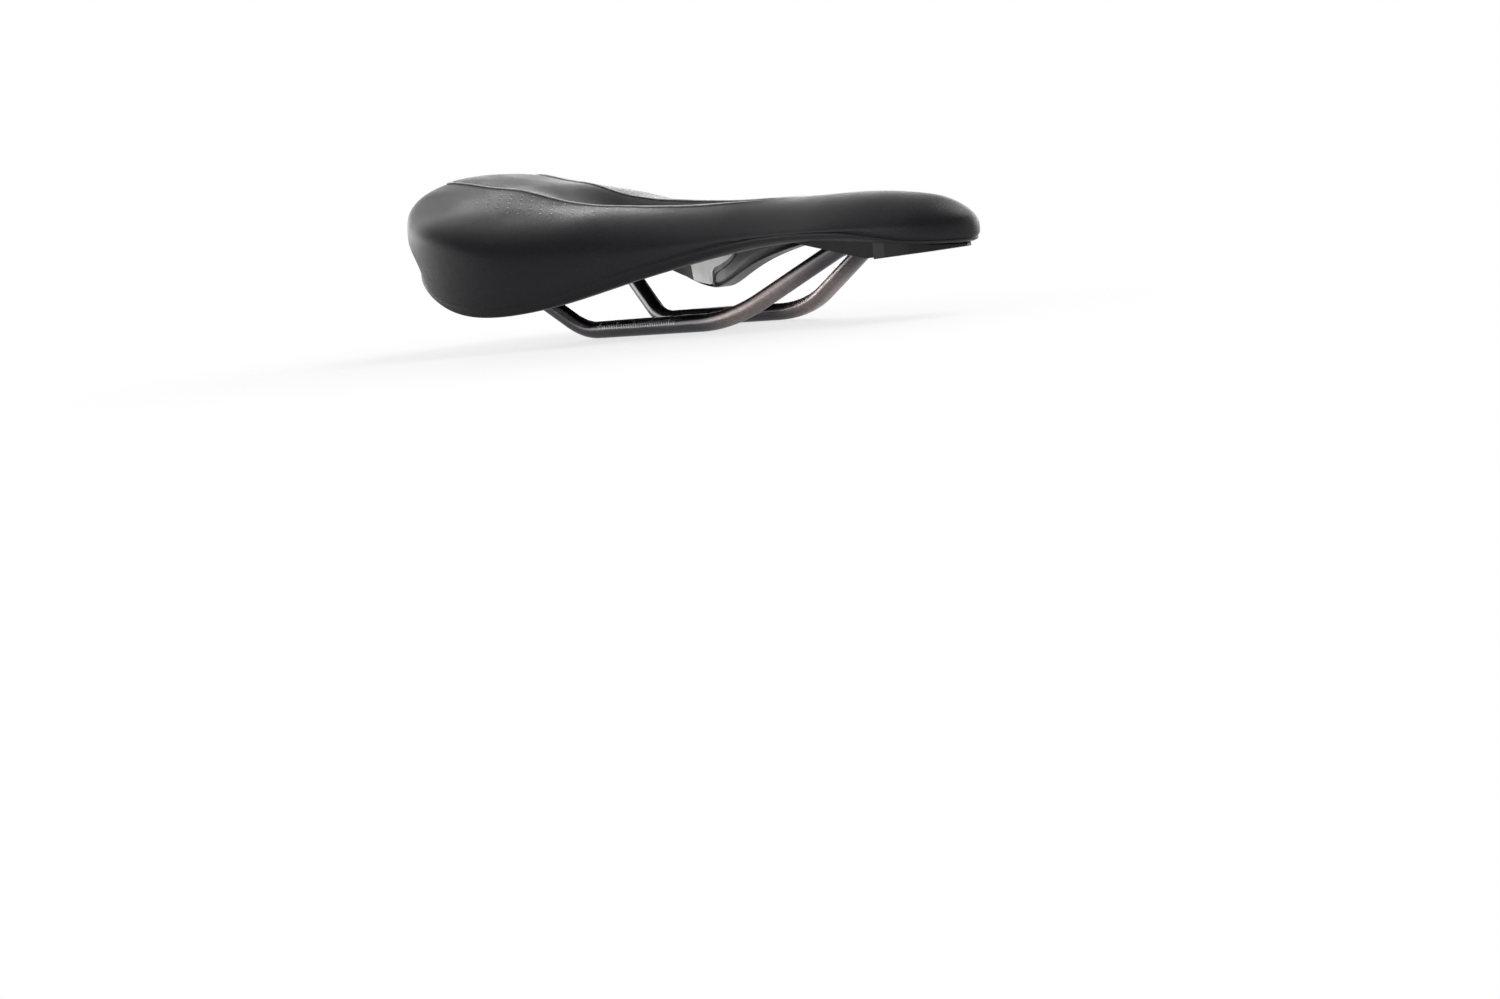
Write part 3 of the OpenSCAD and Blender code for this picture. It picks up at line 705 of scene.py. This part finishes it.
WELD_RADIUS, WELD_LIFT, WELD_END = .42, .28, 62
WELD = [(math.cos(a), math.sin(a)) for a in np.arange(8) * math.tau / 8]
crease = top(OUTSIDE, cover_crease)
crease[:, 2] += WELD_LIFT
order = [i % COLUMNS for i in range(-COLUMNS // 2, COLUMNS // 2) if crease_x[i] < WELD_END]
line = crease[order]
run = np.gradient(line, axis=0)
run /= np.linalg.norm(run, axis=1)[:, None]
points, faces = [], []
for p, along in zip(line, run):
    side_way = np.cross(along, (0, 0, 1))
    side_way /= np.linalg.norm(side_way)
    up_way = np.cross(side_way, along)
    size = WELD_RADIUS * (1 - float(ease(p[0], 25, WELD_END)) * .85)
    points.extend(p + side_way * c * size + up_way * d * size * .7 for c, d in WELD)
for j in range(len(line) - 1):
    for k in range(8):
        a, b = j * 8 + k, j * 8 + (k + 1) % 8
        faces.append([a, b, b + 8, a + 8])
faces += [list(range(8))[::-1], list(range(len(line) * 8 - 8, len(line) * 8))]
crease_line = mesh_object("crease_line", points, faces, weld_painted_highlight, 80)
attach(crease_line, "root")

# ============================================================ rails
# Two 7 mm round bars of black-chromed steel, bent cold, with a length scale
# etched on the outer side of the clamp run.  Their ends sit in the sockets.

rail_steel, tree, shader, place = material("rail_steel", (.24, .235, .24), .25,
                                           Metallic=1.0)
axes = node(tree, "SeparateXYZ", {"Vector": place})
x_mm = calc(tree, "MULTIPLY", axes.outputs["X"], 1000.0)
y_out = calc(tree, "SUBTRACT", calc(tree, "MULTIPLY", calc(
    tree, "ABSOLUTE", axes.outputs["Y"]), 1000.0), 22.0)
z_mm = calc(tree, "MULTIPLY", axes.outputs["Z"], 1000.0)


def marks(spacing, half_width):
    """1 on thin lines across the bar, every spacing mm."""
    wave = calc(tree, "PINGPONG", calc(tree, "ADD", x_mm, 1000.0), spacing / 2)
    return ramp(tree, wave, half_width + .04, half_width - .04)


def between(value, low_value, high_value, soft):
    return calc(tree, "MULTIPLY", ramp(tree, value, low_value - soft, low_value + soft),
                ramp(tree, value, high_value + soft, high_value - soft))


outer_face = ramp(tree, y_out, 1.2, 1.6)
scale_run = between(x_mm, -31.2, 13.2, .15)
short = calc(tree, "MULTIPLY", marks(1.0, .12), between(z_mm, .2, 1.7, .1))
long = calc(tree, "MULTIPLY", marks(10.0, .14), between(z_mm, .2, 2.7, .1))
etched = calc(tree, "MULTIPLY", calc(tree, "MAXIMUM", short, long),
              calc(tree, "MULTIPLY", outer_face, scale_run))
streaks = node(tree, "TexNoise", {
    "Vector": node(tree, "Mapping", {"Vector": place, "Scale": (90., 1500., 1500.)})
    .outputs["Vector"], "Scale": 1.0, "Detail": 4.0})
speckle = node(tree, "TexNoise", {"Vector": place, "Scale": 700.0, "Detail": 5.0,
                                  "Roughness": .7})
# Over the front bends of both bars a warm pale colour is painted in. It is a painted
# reflection of warm light, broken up by speckled rubbing wear, and the bars are also
# rougher there.
wear_and_sheen_run = between(x_mm, 34.0, 74.0, 12.0)
wear_and_sheen = calc(tree, "MULTIPLY", wear_and_sheen_run, ramp(tree, speckle.outputs["Fac"], .25, .75,
                                             .55, 1.0))
chrome = mix(tree, streaks.outputs["Fac"], (.085, .08, .088, 1), (.13, .125, .135, 1))
# The warm pale colour here is the painted reflection, speckled with rubbing wear.
chrome = mix(tree, calc(tree, "MULTIPLY", wear_and_sheen, .8), chrome, (.42, .355, .335, 1))
tree.links.new(mix(tree, etched, chrome, (.5, .5, .49, 1)), shader.inputs["Base Color"])
rough = calc(tree, "ADD", ramp(tree, streaks.outputs["Fac"], .3, .7, .16, .26),
             calc(tree, "MULTIPLY", wear_and_sheen_run, .10))
tree.links.new(calc(tree, "ADD", rough, calc(tree, "MULTIPLY", etched, .3)),
               shader.inputs["Roughness"])
bump = node(tree, "Bump", {"Height": calc(tree, "SUBTRACT", calc(
    tree, "MULTIPLY", streaks.outputs["Fac"], .3), etched), "Strength": .5,
    "Distance": .00006})
tree.links.new(bump.outputs["Normal"], shader.inputs["Normal"])


def finish_node(name, finish, bevel=0.0):
    """Gives a CAD node its finish and, where it has edges, a small round on them."""
    part = nodes[name]
    for place_in in part.material_slots:
        place_in.material = finish
    if not part.material_slots:
        part.data.materials.append(finish)
    if bevel:
        round_off = part.modifiers.new("round_edges", "BEVEL")
        round_off.width, round_off.segments = bevel * .001, 3
        round_off.limit_method, round_off.angle_limit = "ANGLE", math.radians(35)
        round_off.harden_normals = True


for name in ("rail_left", "rail_right"):
    finish_node(name, rail_steel)

# ============================================================ sockets
# Moulded nylon sockets that hold the rail ends: one keel in the nose and one
# foot under each wing, each screwed up into the base.

socket_nylon = moulded("socket_nylon", (.012, .012, .0125), (.02, .02, .0205),
                       .36, .5, .0007, .5, Specular_IOR_Level=.3)
for name in ("nose_socket", "rear_socket_left", "rear_socket_right"):
    finish_node(name, socket_nylon, .4)

# ============================================================ nose bumper
# A thin moulded guard under the tip of the nose, in front of the socket.

bumper_plastic = moulded("bumper_plastic", (.009, .009, .0095), (.015, .015, .0155),
                         .4, .55, .0011, .9, Specular_IOR_Level=.3)
finish_node("nose_bumper", bumper_plastic, .3)

# ============================================================ screws
# Pan-head screws with a hexagon socket, zinc plated.

zinc, tree, shader, place = material("zinc_plate", (.55, .55, .53), .3, Metallic=1.0)
bloom = node(tree, "TexNoise", {"Vector": place, "Scale": 500.0, "Detail": 4.0})
tree.links.new(mix(tree, bloom.outputs["Fac"], (.42, .42, .40, 1), (.66, .65, .62, 1)),
               shader.inputs["Base Color"])
tree.links.new(ramp(tree, bloom.outputs["Fac"], .3, .7, .24, .42),
               shader.inputs["Roughness"])
for name in ("nose_socket_screws", "bumper_screw", "rear_socket_screws"):
    finish_node(name, zinc, .2)

# ============================================================ stage
# A pale table top just under the rails that fades to a white room.  One large soft
# lamp stands behind on the right, and the room is brighter behind and on the left.

floor_mesh = bpy.data.meshes.new("table_top")
floor_mesh.from_pydata([(-9, -9, 0), (9, -9, 0), (9, 9, 0), (-9, 9, 0)], [],
                       [(0, 1, 2, 3)])
floor = bpy.data.objects.new("table_top", floor_mesh)
FLOOR_LEVEL = -.0036
floor.location.z = FLOOR_LEVEL
bpy.context.collection.objects.link(floor)
table_paint, tree, shader, place = material("table_paint", (.8, .8, .8), .7)
floor_mesh.materials.append(table_paint)
# From and to which distance in metres, and from and to which share of white
WHITE_TO_CAMERA, WHITE_TO_GLOSS = (.12, .28, .72, 1.0), (.04, .25, .3, .55)
TO_LEFT, TO_BACK, TO_FRONT = (-.75, -.66, 0.), (-.75, .66, 0.), (.5, -.87, 0.)
flat = node(tree, "VectorMath", {0: place, 1: (1., 1., 0.)}, operation="MULTIPLY")
away = node(tree, "VectorMath", {0: flat.outputs["Vector"]}, operation="LENGTH")
path = tree.nodes.new("ShaderNodeLightPath")
white = tree.nodes.new("ShaderNodeEmission")
fade = calc(tree, "MULTIPLY", ramp(tree, away.outputs["Value"], *WHITE_TO_CAMERA),
            path.outputs["Is Camera Ray"])
to_left = node(tree, "VectorMath", {0: place, 1: TO_LEFT},
               operation="DOT_PRODUCT")
card = ramp(tree, to_left.outputs["Value"], *WHITE_TO_GLOSS)
fade = calc(tree, "ADD", fade, calc(tree, "MULTIPLY", path.outputs["Is Glossy Ray"], card))
blend = node(tree, "MixShader", {0: fade, 1: shader.outputs["BSDF"],
                                 2: white.outputs["Emission"]})
tree.links.new(blend.outputs["Shader"],
               tree.nodes["Material Output"].inputs["Surface"])

world = bpy.data.worlds.new("room")
bpy.context.scene.world = world
world.use_nodes = True
tree = world.node_tree
background = tree.nodes["Background"]
path = tree.nodes.new("ShaderNodeLightPath")
ray = tree.nodes.new("ShaderNodeTexCoord").outputs["Generated"]
behind = node(tree, "VectorMath", {0: ray, 1: TO_BACK}, operation="DOT_PRODUCT")
front = node(tree, "VectorMath", {0: ray, 1: TO_FRONT}, operation="DOT_PRODUCT")
left = node(tree, "VectorMath", {0: ray, 1: TO_LEFT}, operation="DOT_PRODUCT")
height = node(tree, "SeparateXYZ", {"Vector": ray}).outputs["Z"]
around = calc(tree, "ADD", ramp(tree, front.outputs["Value"], .35, .95, 1.0, .36),
              ramp(tree, behind.outputs["Value"], 0.0, .6, 0.0, 2.6))
around = calc(tree, "ADD", around, ramp(tree, left.outputs["Value"], .6, 1.0, 0.0, 1.3))
room_light = calc(tree, "MULTIPLY", around, ramp(tree, height, .2, .7, 1.0, .12))
strength = node(tree, "MapRange", {"Value": path.outputs["Is Camera Ray"],
                                   "To Min": room_light, "To Max": 1.0})
tree.links.new(strength.outputs["Result"], background.inputs["Strength"])
background.inputs["Color"].default_value = (1, 1, 1, 1)


def lamp(name, place, aim, size, power):
    data = bpy.data.lights.new(name, "AREA")
    data.shape = "RECTANGLE"
    data.size, data.size_y = size
    data.energy = power
    made = bpy.data.objects.new(name, data)
    made.location = place
    made.rotation_euler = (Vector(aim) - Vector(place)).to_track_quat("-Z", "Y").to_euler()
    bpy.context.collection.objects.link(made)


lamp("softbox", (.25, .7, 1.1), (0, 0, .04), (.9, .9), 10)

camera_data = bpy.data.cameras.new("camera")
camera = bpy.data.objects.new("camera", camera_data)
bpy.context.collection.objects.link(camera)
LENS, SENSOR = 72, 36              # 3000 pixels of focal length at 1500 wide
camera_data.lens, camera_data.sensor_width = LENS, SENSOR
camera_data.clip_start = .01
CAMERA_PLACE = (.8597, -.8502, .0491)
RIGHT = Vector((.71484, .6912, -.10606))
DOWN = Vector((-.00473, -.14689, -.98914))
AHEAD = Vector((-.69928, .70758, -.10173))
turn = Matrix((RIGHT, -DOWN, -AHEAD)).transposed().to_4x4()
camera.matrix_world = Matrix.Translation(CAMERA_PLACE) @ turn
bpy.context.scene.camera = camera
bpy.context.scene.view_settings.view_transform = "Standard"
